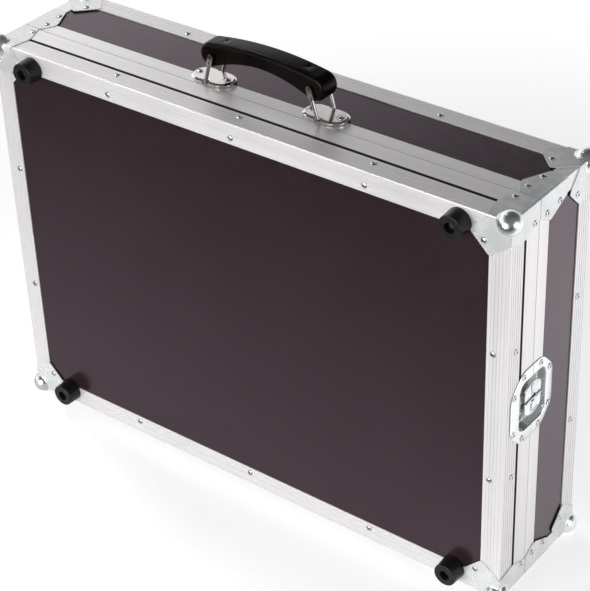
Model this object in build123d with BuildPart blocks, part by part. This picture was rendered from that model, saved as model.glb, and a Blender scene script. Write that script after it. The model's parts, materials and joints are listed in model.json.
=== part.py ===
from build123d import *
import math
import os

# Keyboard flight case, standing on its long edge with the handle up.
# X runs along the case, +Y goes from the footed face into the depth, +Z is up.
# The origin is the middle of the footprint on the ground, under the ball corners.
# Every size is in millimetres.

# Case body
case_width = 842.0
case_height = 592.0
case_depth = 188.0
base_depth = 63.0
parting_gap = 0.8
ply_thick = 7.0

# Aluminium edge angles along the face edges
angle_leg = 30.0
angle_thick = 1.5
angle_round = 1.4
flute_count = 5
flute_width = 1.1
flute_depth = 0.45

# Closing extrusions round the mouth of each shell
base_rim_width = 28.4
lid_rim_width = 22.4
rim_cap = 2.0
rim_inner_leaf = 12.0
rim_bevel = 0.2
tongue_thick = 2.0
tongue_inset = 4.2
tongue_reach = 5.0
tongue_clearance = 0.3
groove_floor = 1.5

# Narrow angles down the depth edges of the lid
strip_leg = 22.0

# Pressed steel corners with a ball
steel_thick = 1.2
steel_round = 2.5
ball_radius = 16.0
ball_inset = 6.0
ball_flare = 4.5
petal_root = 34.0
petal_tip = 57.0
petal_tip_side = 28.5
petal_round = 5.5
leaf_waist = 40.0
leaf_waist_depth = 32.0
leaf_end = 28.0
leaf_round = 9.0

# Corner braces beside the seam on the lid
brace_start = 29.0
brace_shoulder = 40.0
brace_shoulder_depth = 18.0
brace_shoulder_run = 8.0
brace_end = 22.5
brace_length = 62.0
brace_round = 4.0

# Rivets
rivet_radius = 4.4
rivet_crown = 2.8
rivet_height = 1.6
rivet_edge = 20.5
rivet_spacing = 210.0
rivet_rise = 99.0
petal_rivet = 37.0
leaf_rivet_depth = 51.0
leaf_rivet_edge = 27.0
brace_rivet_depths = (16.0, 45.0)
brace_rivet_edges = (27.0, 24.0)

# Rubber feet on the base face
foot_height = 22.0
foot_base_radius = 17.5
foot_end_radius = 16.4
foot_round = 1.5
foot_recess_radius = 7.5
foot_recess_depth = 9.0
foot_from_side = 72.5
foot_from_edge = 22.0
screw_radius = 2.4
screw_clearance = 0.1
screw_head_radius = 5.0
screw_head_height = 2.6
screw_slot = 1.2
screw_bite = 5.0

# Foam lining
foam_floor = 10.0
foam_side = 8.0
foam_clearance = 0.3

# Twist latch in its dish, measured from the parting plane and from mid height
dish_base_reach = 52.0
dish_lid_reach = 48.0
dish_half_height = 56.0
dish_corner_run = 25.0
dish_corner_rise = 27.0
dish_round = 9.0
dish_rivet_inset = 8.0
dish_rivet_flat = 30.0
pan_base_reach = 30.0
pan_lid_reach = 32.0
pan_half_height = 38.0
pan_round = 14.0
pan_floor_round = 11.0
pan_depth = 12.0
pan_draft = 3.0
cutout_clearance = 0.6

# Latch works, heights above the pan's floor
rotor_offset = 5.0
rotor_radius = 16.0
rotor_level = 6.2
rotor_thick = 1.6
cam_radius = 8.0
cam_throw = 3.0
cam_level = 2.4
cam_play = 0.9
axle_radius = 3.0
running_clearance = 0.06
axle_head_radius = 5.0
axle_head_height = 1.05
hook_level = 4.6
hook_thick = 1.2
hook_half_width = 15.5
hook_frame = 4.0
nose_thick = 2.0
nose_depth = 1.8
nose_half_width = 11.0
lip_offset = 15.0
lip_height = 2.3
lip_thick = 2.0
lip_half_width = 12.0
lip_clearance = 0.3

# Butterfly wings
wing_radius = 25.0
wing_half_width = 19.0
wing_thick = 1.8
wing_lift = 0.3
wing_step = 0.2
wing_gap = 2.4
wing_notch = 6.5
wing_pin_radius = 1.0
knuckle_radius = 1.8
knuckle_length = 2.8
knuckle_gap = 0.2
ear_reach = 16.5

# Handle
plate_spacing = 185.0
plate_depth = 19.6
plate_length = 67.0
plate_width = 37.6
plate_edge = 4.2
plate_crown = 6.4
plate_crown_inset = 3.0
plate_slot_half = 5.0
plate_slot_clearance = 0.3
plate_rivet = 24.0
plate_boss_radius = 6.8
plate_boss_groove = 1.0
plate_boss_depth = 0.5
stirrup_wire = 2.5
stirrup_half_span = 18.4
stirrup_pivot_height = 3.2
stirrup_bend = 4.0
eye_spacing = 160.0
eye_height = 44.6
eye_half_width = 4.4
eye_length = 20.0
eye_thick = 3.0
pin_radius = 2.0
pin_head_radius = 3.1
pin_head_height = 0.8
pin_bore_radius = 1.3
pin_bore_depth = 2.4
open_pivot_play = 0.75
grip_clearance = 0.3
grip_end = 102.0
grip_end_height = 44.0
grip_end_top = 61.5
grip_end_low = 27.0
grip_shoulder = 86.0
grip_arch = 60.0
grip_arch_height = 38.0
grip_top = 69.0
grip_under = 49.0
grip_round = 6.0
grip_channel = 14.0
grip_channel_depth = 6.0
grip_hole_place = 66.0
grip_hole_radius = 1.7
grip_hole_floor = 58.0

# Planes that the pieces are placed from
ball_proud = ball_radius - ball_inset
side_x = case_width / 2
near_y = (foot_height - case_depth - ball_proud) / 2
far_y = near_y + case_depth
part_y = near_y + base_depth
low_z = ball_proud
high_z = low_z + case_height
mid_z = low_z + case_height / 2
half_gap = parting_gap / 2
wall_inset = angle_thick + ply_thick
rim_inset = wall_inset + angle_thick
base_mouth = base_depth - half_gap
lid_mouth = base_depth + half_gap
lid_rim_cap = tongue_reach + tongue_clearance + groove_floor
handle_y = part_y + plate_depth

HORIZONTAL = Plane.XY.offset(mid_z)
MID_DEPTH = Plane(origin=(0, (near_y + far_y) / 2, 0), z_dir=(0, 1, 0))
SIDES = {"left": -1, "right": 1}
CORNERS = {"top_right": (1, 1), "top_left": (-1, 1), "bottom_right": (1, -1), "bottom_left": (-1, -1)}

# Planes with local x going inwards from the outer face and local y into the depth
TOP_SECTION = Plane(origin=(0, near_y, high_z), x_dir=(0, 0, -1), z_dir=(1, 0, 0))
SIDE_SECTION = Plane(origin=(side_x, near_y, mid_z), x_dir=(-1, 0, 0), z_dir=(0, 0, -1))
MITRE_HIGH = Plane(origin=(side_x, 0, high_z), z_dir=(1, 0, -1))
MITRE_HIGH_LEFT = Plane(origin=(-side_x, 0, high_z), z_dir=(-1, 0, -1))
MITRE_LOW = Plane(origin=(side_x, 0, low_z), z_dir=(1, 0, 1))

# Planes on the three outer faces of the top right corner, x and y measured from its edges
FACE_OUT = Plane(origin=(side_x, near_y, high_z), x_dir=(-1, 0, 0), z_dir=(0, -1, 0))
TOP_OUT = Plane(origin=(side_x, near_y, high_z), x_dir=(-1, 0, 0), z_dir=(0, 0, -1))
SIDE_OUT = Plane(origin=(side_x, near_y, high_z), x_dir=(0, 0, -1), z_dir=(1, 0, 0))

# Outer face of the right latch dish, x into the depth from the parting, y up from mid height
LATCH = Plane(origin=(side_x + steel_thick, part_y, mid_z), x_dir=(0, 1, 0), z_dir=(1, 0, 0))

os.makedirs("parts", exist_ok=True)


def save(name, part):
    """Label a finished piece and write it under its own name."""
    part.label = name
    export_step(part, f"parts/{name}.step")


def quadrant(part, corner):
    """A piece built for the top right corner, mirrored into another corner."""
    across, up = CORNERS[corner]
    with BuildPart() as placed:
        add(part)
        if across < 0:
            mirror(about=Plane.YZ, mode=Mode.REPLACE)
        if up < 0:
            mirror(about=HORIZONTAL, mode=Mode.REPLACE)
    return placed.part


def sided(part, side):
    """A piece built for the right side, mirrored to the left one if asked."""
    with BuildPart() as placed:
        add(part)
        if SIDES[side] < 0:
            mirror(about=Plane.YZ, mode=Mode.REPLACE)
    return placed.part


def slab(low, high):
    """A block between two opposite corners, inside the part being built."""
    size = [b - a for a, b in zip(low, high)]
    middle = [(a + b) / 2 for a, b in zip(low, high)]
    with Locations(tuple(middle)):
        return Box(*size)


# Hole for the latch pan through the side walls and the closing extrusions
pan_centre = (pan_lid_reach - pan_base_reach) / 2
pan_half_width = (pan_lid_reach + pan_base_reach) / 2
cutout_margin = steel_thick + cutout_clearance
cutout_depth = pan_depth + steel_thick + cutout_clearance
with BuildPart() as latch_cutout:
    with BuildSketch(LATCH.offset(-cutout_depth)):
        with Locations((pan_centre, 0)):
            RectangleRounded(
                2 * (pan_half_width + cutout_margin),
                2 * (pan_half_height + cutout_margin),
                pan_round,
            )
    extrude(amount=cutout_depth + steel_thick)

# Holes of the foot screws
foot_x = side_x - foot_from_side
foot_z = case_height / 2 - foot_from_edge
foot_places = [
    Plane(origin=(across * foot_x, near_y, mid_z + up * foot_z), x_dir=(1, 0, 0), z_dir=(0, -1, 0))
    for across, up in CORNERS.values()
]
with BuildPart() as foot_holes:
    for place in foot_places:
        with BuildSketch(place):
            Circle(screw_radius + screw_clearance)
        extrude(amount=-(angle_thick + screw_bite))


def rails(prefix, section, side_notch=None, holes=None):
    """Four mitred lengths of one extrusion round the case."""
    with BuildPart() as top:
        with BuildSketch(TOP_SECTION):
            add(section)
        extrude(amount=side_x, both=True)
        split(bisect_by=MITRE_HIGH, keep=Keep.BOTTOM)
        split(bisect_by=MITRE_HIGH_LEFT, keep=Keep.BOTTOM)
        if holes is not None:
            add(holes, mode=Mode.SUBTRACT)
    with BuildPart() as bottom:
        mirror(top.part, about=HORIZONTAL)
    with BuildPart() as right:
        with BuildSketch(SIDE_SECTION):
            add(section)
        extrude(amount=case_height / 2, both=True)
        split(bisect_by=MITRE_HIGH, keep=Keep.TOP)
        split(bisect_by=MITRE_LOW, keep=Keep.TOP)
        if side_notch is not None:
            add(side_notch, mode=Mode.SUBTRACT)
    save(f"{prefix}_top", top.part)
    save(f"{prefix}_bottom", bottom.part)
    for side in SIDES:
        save(f"{prefix}_{side}", sided(right.part, side))


# Edge angles on both faces, fluted on the outside
flute_pitch = angle_leg / (flute_count + 1)
with BuildSketch() as angle_section:
    with BuildLine():
        Polyline(
            (0, 0),
            (angle_leg, 0),
            (angle_leg, angle_thick),
            (angle_thick, angle_thick),
            (angle_thick, angle_leg),
            (0, angle_leg),
            close=True,
        )
    make_face()
    fillet(angle_section.vertices().sort_by(lambda v: v.X + v.Y)[0], angle_round)
    for number in range(flute_count):
        place = (number + 1) * flute_pitch
        with Locations((place, flute_depth / 2)):
            Rectangle(flute_width, flute_depth, mode=Mode.SUBTRACT)
        with Locations((flute_depth / 2, place)):
            Rectangle(flute_depth, flute_width, mode=Mode.SUBTRACT)
with BuildSketch() as far_angle_section:
    add(angle_section.sketch)
    mirror(about=Plane.XZ.offset(-case_depth / 2), mode=Mode.REPLACE)
rails("base_angle", angle_section.sketch, holes=foot_holes.part)
rails("lid_angle", far_angle_section.sketch)

# Base closing extrusion, capping the plywood and carrying the tongue
with BuildSketch() as base_rim_section:
    with BuildLine():
        Polyline(
            (0, base_mouth - base_rim_width),
            (angle_thick, base_mouth - base_rim_width),
            (angle_thick, base_mouth - rim_cap),
            (wall_inset, base_mouth - rim_cap),
            (wall_inset, base_mouth - rim_inner_leaf),
            (rim_inset, base_mouth - rim_inner_leaf),
            (rim_inset, base_mouth),
            (tongue_inset + tongue_thick, base_mouth),
            (tongue_inset + tongue_thick, base_mouth + tongue_reach),
            (tongue_inset, base_mouth + tongue_reach),
            (tongue_inset, base_mouth),
            (rim_bevel, base_mouth),
            (0, base_mouth - rim_bevel),
            close=True,
        )
    make_face()
rails("base_rim", base_rim_section.sketch, side_notch=latch_cutout.part)

# Lid closing extrusion with the groove for the tongue
groove_low = tongue_inset - tongue_clearance
groove_high = tongue_inset + tongue_thick + tongue_clearance
groove_end = lid_mouth + tongue_reach + tongue_clearance
with BuildSketch() as lid_rim_section:
    with BuildLine():
        Polyline(
            (0, lid_mouth + lid_rim_width),
            (0, lid_mouth + rim_bevel),
            (rim_bevel, lid_mouth),
            (groove_low, lid_mouth),
            (groove_low, groove_end),
            (groove_high, groove_end),
            (groove_high, lid_mouth),
            (rim_inset, lid_mouth),
            (rim_inset, lid_mouth + rim_inner_leaf),
            (wall_inset, lid_mouth + rim_inner_leaf),
            (wall_inset, lid_mouth + lid_rim_cap),
            (angle_thick, lid_mouth + lid_rim_cap),
            (angle_thick, lid_mouth + lid_rim_width),
            close=True,
        )
    make_face()
rails("lid_rim", lid_rim_section.sketch, side_notch=latch_cutout.part)


def shell_panels(prefix, panel_start, wall_start, wall_end, holes=None):
    """The face panel and four side walls of one shell, all of phenolic plywood."""
    panel_x = side_x - angle_thick
    panel_half = case_height / 2 - angle_thick
    with BuildPart() as panel:
        slab(
            (-panel_x, near_y + panel_start, mid_z - panel_half),
            (panel_x, near_y + panel_start + ply_thick, mid_z + panel_half),
        )
        if holes is not None:
            add(holes, mode=Mode.SUBTRACT)
    save(f"{prefix}_panel", panel.part)
    with BuildPart() as top:
        slab(
            (-panel_x, near_y + wall_start, high_z - wall_inset),
            (panel_x, near_y + wall_end, high_z - angle_thick),
        )
    with BuildPart() as bottom:
        mirror(top.part, about=HORIZONTAL)
    with BuildPart() as right:
        slab(
            (side_x - wall_inset, near_y + wall_start, low_z + wall_inset),
            (side_x - angle_thick, near_y + wall_end, high_z - wall_inset),
        )
        add(latch_cutout.part, mode=Mode.SUBTRACT)
    save(f"{prefix}_wall_top", top.part)
    save(f"{prefix}_wall_bottom", bottom.part)
    for side in SIDES:
        save(f"{prefix}_wall_{side}", sided(right.part, side))


shell_panels("base", angle_thick, wall_inset, base_mouth - rim_cap, holes=foot_holes.part)
lid_panel_start = case_depth - wall_inset
shell_panels("lid", lid_panel_start, lid_mouth + lid_rim_cap, lid_panel_start)

# Narrow aluminium angles down the four depth edges of the lid
strip_start = near_y + lid_mouth + lid_rim_width
strip_end = far_y - angle_leg
with BuildPart() as strips:
    for across, up in CORNERS.values():
        strip_plane = Plane(
            origin=(across * side_x, strip_start, mid_z + up * case_height / 2),
            x_dir=(-across, 0, 0),
            z_dir=(0, -across * up, 0),
        )
        with BuildSketch(strip_plane):
            Rectangle(strip_leg, strip_leg, align=(Align.MIN, Align.MIN))
            with Locations((angle_thick, angle_thick)):
                Rectangle(strip_leg, strip_leg, align=(Align.MIN, Align.MIN), mode=Mode.SUBTRACT)
        extrude(amount=-across * up * (strip_end - strip_start))
save("lid_edge_strips", strips.part)


def rounded(outline, places, radius):
    """A leaf's flat outline with the numbered corners rounded."""
    with BuildSketch() as leaf:
        Polygon(*outline, align=None)
        for place in places:
            fillet(leaf.vertices().sort_by_distance((*outline[place], 0))[0], radius)
    return leaf.sketch


def outside_leaf(plane, leaf, thickness):
    """The sheet of steel round a leaf, to be cut away from a pressed piece."""
    with BuildPart() as waste:
        with BuildSketch(plane):
            Rectangle(2 * case_width, 2 * case_width)
            add(leaf, mode=Mode.SUBTRACT)
        extrude(amount=thickness)
    return waste.part


# Outline of a corner's petal, from the two edges that it wraps
beyond = -2 * steel_thick
petal_outline = [
    (beyond, beyond),
    (petal_root, beyond),
    (petal_root, 0),
    (petal_tip, petal_tip_side),
    (petal_tip_side, petal_tip),
    (0, petal_root),
    (beyond, petal_root),
]
petal = rounded(petal_outline, (3, 4), petal_round)
# Outline of the leaf that runs on to the seam: from the edge, then into the depth
seam_leaf_outline = [
    (beyond, beyond),
    (petal_root, beyond),
    (petal_root, 0),
    (leaf_waist, leaf_waist_depth),
    (leaf_end, base_mouth),
    (beyond, base_mouth),
]
seam_leaf = rounded(seam_leaf_outline, (3,), leaf_round)


def ball_corner(depth_leaf, depth_reach):
    """A pressed corner with its ball, built at the near top right corner of the case."""
    with BuildPart() as corner:
        tip = (side_x + steel_thick, near_y - steel_thick, high_z + steel_thick)
        reach = petal_tip + steel_thick
        slab((side_x - reach, tip[1], high_z - reach), (tip[0], near_y + depth_reach, tip[2]))
        bends = corner.edges().filter_by(lambda e: e.distance_to(Vertex(*tip)) < steel_thick)
        fillet(bends, steel_round)
        with Locations((side_x - ball_inset, near_y + ball_inset, high_z - ball_inset)):
            Sphere(ball_radius)
        ball = corner.faces().filter_by(GeomType.SPHERE).sort_by(SortBy.AREA)[-1]
        fillet(ball.edges(), ball_flare)
        with Locations((side_x - case_width / 4, near_y + case_depth / 2, high_z - case_height / 4)):
            Box(case_width / 2, case_depth, case_height / 2, mode=Mode.SUBTRACT)
        add(outside_leaf(FACE_OUT, petal, steel_thick), mode=Mode.SUBTRACT)
        add(outside_leaf(TOP_OUT, depth_leaf, -steel_thick), mode=Mode.SUBTRACT)
        add(outside_leaf(SIDE_OUT, depth_leaf, steel_thick), mode=Mode.SUBTRACT)
    return corner.part


near_corner = ball_corner(seam_leaf, base_mouth)
far_petal_corner = ball_corner(petal, petal_tip)
with BuildPart() as far_corner:
    mirror(far_petal_corner, about=MID_DEPTH)
for name in CORNERS:
    save(f"base_corner_{name}", quadrant(near_corner, name))
    save(f"lid_corner_{name}", quadrant(far_corner.part, name))

# Braces that carry on from the near corners across the seam
brace_waist_start = lid_mouth + brace_shoulder_depth
brace_waist_end = brace_waist_start + brace_shoulder_run
brace_stop = lid_mouth + brace_length
brace_outline = [
    (beyond, lid_mouth),
    (brace_start, lid_mouth),
    (brace_shoulder, brace_waist_start),
    (brace_shoulder, brace_waist_end),
    (brace_end, brace_stop),
    (beyond, brace_stop),
]
brace_leaf = rounded(brace_outline, (2, 3, 4), brace_round)
with BuildPart() as brace:
    slab(
        (side_x - brace_shoulder - steel_thick, near_y + lid_mouth, high_z - brace_shoulder - steel_thick),
        (side_x + steel_thick, near_y + brace_stop, high_z + steel_thick),
    )
    fillet(brace.edges().filter_by(Axis.Y).sort_by(lambda e: e.center().X + e.center().Z)[-1], steel_round)
    with Locations((side_x - case_width / 4, near_y + case_depth / 2, high_z - case_height / 4)):
        Box(case_width / 2, case_depth, case_height / 2, mode=Mode.SUBTRACT)
    add(outside_leaf(TOP_OUT, brace_leaf, -steel_thick), mode=Mode.SUBTRACT)
    add(outside_leaf(SIDE_OUT, brace_leaf, steel_thick), mode=Mode.SUBTRACT)
with BuildPart() as braces:
    for name in CORNERS:
        add(quadrant(brace.part, name))
save("lid_braces", braces.part)

# Latch dish, pressed in one outline and parted at the seam
dish_outline = [
    (-dish_base_reach, dish_half_height - dish_corner_rise),
    (dish_corner_run - dish_base_reach, dish_half_height),
    (dish_lid_reach - dish_corner_run, dish_half_height),
    (dish_lid_reach, dish_half_height - dish_corner_rise),
    (dish_lid_reach, dish_corner_rise - dish_half_height),
    (dish_lid_reach - dish_corner_run, -dish_half_height),
    (dish_corner_run - dish_base_reach, -dish_half_height),
    (-dish_base_reach, dish_corner_rise - dish_half_height),
]
KEEPER_SIDE = Plane(origin=(0, part_y - half_gap, 0), z_dir=(0, 1, 0))
LATCH_SIDE = Plane(origin=(0, part_y + half_gap, 0), z_dir=(0, 1, 0))


def pan_outline(half_width, half_height, corner):
    """One level of the latch pan, on the sketch being built."""
    with Locations((pan_centre, 0)):
        RectangleRounded(2 * half_width, 2 * half_height, corner)


with BuildPart() as dish:
    with BuildSketch(LATCH):
        add(rounded(dish_outline, range(len(dish_outline)), dish_round))
    extrude(amount=-steel_thick)
    with BuildSketch(LATCH):
        pan_outline(pan_half_width + steel_thick, pan_half_height + steel_thick, pan_round + steel_thick)
    with BuildSketch(LATCH.offset(-pan_depth - steel_thick)):
        pan_outline(
            pan_half_width + steel_thick - pan_draft,
            pan_half_height + steel_thick - pan_draft,
            pan_floor_round + steel_thick,
        )
    loft()
    with BuildSketch(LATCH):
        pan_outline(pan_half_width, pan_half_height, pan_round)
    with BuildSketch(LATCH.offset(-pan_depth)):
        pan_outline(pan_half_width - pan_draft, pan_half_height - pan_draft, pan_floor_round)
    loft(mode=Mode.SUBTRACT)
with BuildPart() as keeper_dish:
    add(dish.part)
    split(bisect_by=KEEPER_SIDE, keep=Keep.BOTTOM)
    with BuildSketch(LATCH.offset(-pan_depth)):
        with Locations((lip_thick / 2 - lip_offset, 0)):
            Rectangle(lip_thick, 2 * lip_half_width)
    extrude(amount=lip_height)
with BuildPart() as latch_dish:
    add(dish.part)
    split(bisect_by=LATCH_SIDE, keep=Keep.TOP)
    with BuildSketch(LATCH.offset(-pan_depth)):
        with Locations((rotor_offset, 0)):
            Circle(axle_radius)
    extrude(amount=-steel_thick, mode=Mode.SUBTRACT)


def pair(name, part):
    """A group of a right-hand piece and its mirror image on the left."""
    with BuildPart() as both:
        add(part)
        mirror(about=Plane.YZ)
    save(name, both.part)


pair("keeper_dishes", keeper_dish.part)
pair("latch_dishes", latch_dish.part)


def level(height):
    """Plane parallel to the latch dish at a height above the pan's floor."""
    return LATCH.offset(height - pan_depth)


# Riveted axle of the rotor
rotor_top = rotor_level + rotor_thick
with BuildPart() as axle:
    with BuildSketch(level(-steel_thick)):
        with Locations((rotor_offset, 0)):
            Circle(axle_radius)
    extrude(amount=rotor_top + running_clearance + steel_thick)
    with BuildSketch(level(rotor_top + running_clearance)):
        with Locations((rotor_offset, 0)):
            Circle(axle_head_radius)
    extrude(amount=axle_head_height)
    with BuildSketch(level(-steel_thick)):
        with Locations((rotor_offset, 0)):
            Circle(axle_head_radius)
    extrude(amount=-axle_head_height)
pair("latch_axles", axle.part)

# Rotor with its eccentric cam below and two ears for the wing pin above
wing_floor = rotor_top + wing_lift
wing_axis = wing_floor + wing_thick + wing_step
WING_AXIS = Plane(
    origin=(side_x + steel_thick - pan_depth + wing_axis, part_y + rotor_offset, mid_z),
    x_dir=(0, 0, 1),
    z_dir=(0, 1, 0),
)
ear_start = ear_reach - knuckle_length
with BuildPart() as rotor:
    with BuildSketch(level(rotor_level)):
        with Locations((rotor_offset, 0)):
            Circle(rotor_radius)
    extrude(amount=rotor_thick)
    with BuildSketch(level(cam_level)):
        with Locations((rotor_offset - cam_throw, 0)):
            Circle(cam_radius)
    extrude(amount=rotor_level - cam_level)
    for start in (ear_start, -ear_reach):
        with BuildSketch(WING_AXIS.offset(start)):
            Circle(knuckle_radius)
            with Locations((0, -(wing_axis - rotor_top) / 2)):
                Rectangle(2 * knuckle_radius, wing_axis - rotor_top)
        extrude(amount=knuckle_length)
    with BuildSketch(level(cam_level)):
        with Locations((rotor_offset, 0)):
            Circle(axle_radius + running_clearance)
    extrude(amount=rotor_top - cam_level, mode=Mode.SUBTRACT)
    with BuildSketch(WING_AXIS.offset(-ear_reach)):
        Circle(wing_pin_radius)
    extrude(amount=2 * ear_reach, mode=Mode.SUBTRACT)
with BuildPart() as wing_pin:
    with BuildSketch(WING_AXIS.offset(-ear_reach)):
        Circle(wing_pin_radius)
    extrude(amount=2 * ear_reach)


def wing(up, knuckle_end):
    """One butterfly wing above or below its pin, with two knuckles and room for the axle head."""
    knuckle_start = knuckle_end - knuckle_length
    with BuildPart() as blade:
        with BuildSketch(level(wing_floor)):
            with Locations((rotor_offset, 0)):
                Circle(wing_radius)
                Rectangle(2 * wing_half_width, 2 * wing_radius, mode=Mode.INTERSECT)
            with Locations((rotor_offset, up * (wing_gap / 2 - wing_radius / 2))):
                Rectangle(2 * wing_half_width, wing_radius + wing_gap, mode=Mode.SUBTRACT)
            with Locations((rotor_offset, 0)):
                Circle(wing_notch, mode=Mode.SUBTRACT)
        extrude(amount=wing_thick)
        for start in (knuckle_start, -knuckle_end):
            with BuildSketch(WING_AXIS.offset(start)):
                Circle(knuckle_radius)
                with Locations((up * wing_gap, -wing_step - wing_thick / 2)):
                    Rectangle(2 * wing_gap, wing_thick)
            extrude(amount=knuckle_length)
        with BuildSketch(WING_AXIS.offset(-ear_reach)):
            Circle(wing_pin_radius + running_clearance)
        extrude(amount=2 * ear_reach, mode=Mode.SUBTRACT)
    return blade.part


upper_wing = wing(1, ear_start - knuckle_gap)
lower_wing = wing(-1, ear_start - knuckle_length - 2 * knuckle_gap)

# Hook plate, driven by the cam in its window, drawn back over the keeper's lip
window_centre = rotor_offset - cam_throw
window_half = cam_radius + cam_play
window_half_height = cam_radius + cam_throw + cam_play
hook_travel = 2 * cam_throw
nose_front = -lip_offset - lip_clearance - hook_travel
nose_back = nose_front - nose_thick
hook_back = window_centre + window_half + hook_frame
hook_waist = window_centre - window_half - hook_frame
with BuildPart() as hook:
    with BuildSketch(level(hook_level)):
        Polygon(
            (nose_back, -nose_half_width),
            (hook_waist, -hook_half_width),
            (hook_back, -hook_half_width),
            (hook_back, hook_half_width),
            (hook_waist, hook_half_width),
            (nose_back, nose_half_width),
            align=None,
        )
        with Locations((window_centre, 0)):
            Rectangle(2 * window_half, 2 * window_half_height, mode=Mode.SUBTRACT)
    extrude(amount=hook_thick)
    with BuildSketch(level(hook_level)):
        with Locations(((nose_back + nose_front) / 2, 0)):
            Rectangle(nose_thick, 2 * nose_half_width)
    extrude(amount=-nose_depth)
for side in SIDES:
    save(f"latch_rotor_{side}", sided(rotor.part, side))
    save(f"latch_wing_pin_{side}", sided(wing_pin.part, side))
    save(f"latch_upper_wing_{side}", sided(upper_wing, side))
    save(f"latch_lower_wing_{side}", sided(lower_wing, side))
    save(f"latch_hook_{side}", sided(hook.part, side))

# Handle plates, domed, with a bore for the stirrup and a notch for each leg
PLATE_FACE = Plane(origin=(0, handle_y, high_z), x_dir=(1, 0, 0), z_dir=(0, 0, 1))
plate_x = plate_spacing / 2
plate_bridge = stirrup_half_span - stirrup_bend - plate_slot_clearance
with BuildPart() as handle_plate:
    with BuildSketch(PLATE_FACE):
        with Locations((plate_x, 0)):
            SlotOverall(plate_length, plate_width)
    extrude(amount=plate_edge)
    for height, inset in ((plate_edge, 0), (plate_crown, plate_crown_inset)):
        with BuildSketch(PLATE_FACE.offset(height)):
            with Locations((plate_x, 0)):
                SlotOverall(plate_length - 2 * inset, plate_width - 2 * inset)
    loft()
    for end in (-1, 1):
        with BuildSketch(PLATE_FACE):
            with Locations((plate_x, end * (plate_bridge + plate_width) / 2)):
                Rectangle(2 * plate_slot_half, plate_width - plate_bridge)
        extrude(amount=plate_crown, mode=Mode.SUBTRACT)
    with BuildSketch(Plane(origin=(plate_x, handle_y, high_z + stirrup_pivot_height), z_dir=(0, 1, 0))):
        Circle(stirrup_wire + running_clearance)
    extrude(amount=plate_width / 2, both=True, mode=Mode.SUBTRACT)
    for reach in (-plate_rivet, plate_rivet):
        with BuildSketch(PLATE_FACE.offset(plate_crown)):
            with Locations((plate_x + reach, 0)):
                Circle(plate_boss_radius)
                Circle(plate_boss_radius - plate_boss_groove, mode=Mode.SUBTRACT)
        extrude(amount=-plate_boss_depth, mode=Mode.SUBTRACT)
pair("handle_plates", handle_plate.part)

# Stirrups that carry the grip: a bent wire with two flattened eyes
eye_rise = eye_height - stirrup_pivot_height
eye_lean = (plate_spacing - eye_spacing) / 2
leg_length = math.hypot(eye_rise, eye_lean)
lean = Vector(-eye_lean, 0, eye_rise).normalized()
pivot = Vector(plate_x, handle_y, high_z + stirrup_pivot_height)
STIRRUP = Plane(origin=pivot, x_dir=(0, 1, 0), z_dir=(lean.Z, 0, -lean.X))
eye_inner = stirrup_half_span - eye_thick / 2
eye_middle = leg_length + eye_half_width - eye_length / 2
wire_top = leg_length + 2 * eye_half_width - eye_length + stirrup_wire


def stirrup(eye_hole):
    """A stirrup on the right-hand plate with the given radius for its eye holes."""
    with BuildPart() as bail:
        with BuildLine(STIRRUP) as route:
            FilletPolyline(
                (-stirrup_half_span, wire_top),
                (-stirrup_half_span, 0),
                (stirrup_half_span, 0),
                (stirrup_half_span, wire_top),
                radius=stirrup_bend,
            )
        with BuildSketch(Plane(origin=route.line @ 0, z_dir=route.line % 0)):
            Circle(stirrup_wire)
        sweep()
        for start in (eye_inner, -eye_inner - eye_thick):
            eye_plane = Plane(origin=pivot + Vector(0, start, 0), x_dir=lean, z_dir=(0, 1, 0))
            with BuildSketch(eye_plane):
                with Locations((eye_middle, 0)):
                    SlotOverall(eye_length, 2 * eye_half_width)
            extrude(amount=eye_thick)
        with BuildSketch(Plane(origin=pivot + lean * leg_length, z_dir=(0, 1, 0))):
            Circle(eye_hole)
        extrude(amount=2 * stirrup_half_span, both=True, mode=Mode.SUBTRACT)
    return bail.part


save("handle_stirrup_left", sided(stirrup(pin_radius + running_clearance), "left"))
save("handle_stirrup_right", stirrup(pin_radius + open_pivot_play))

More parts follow.
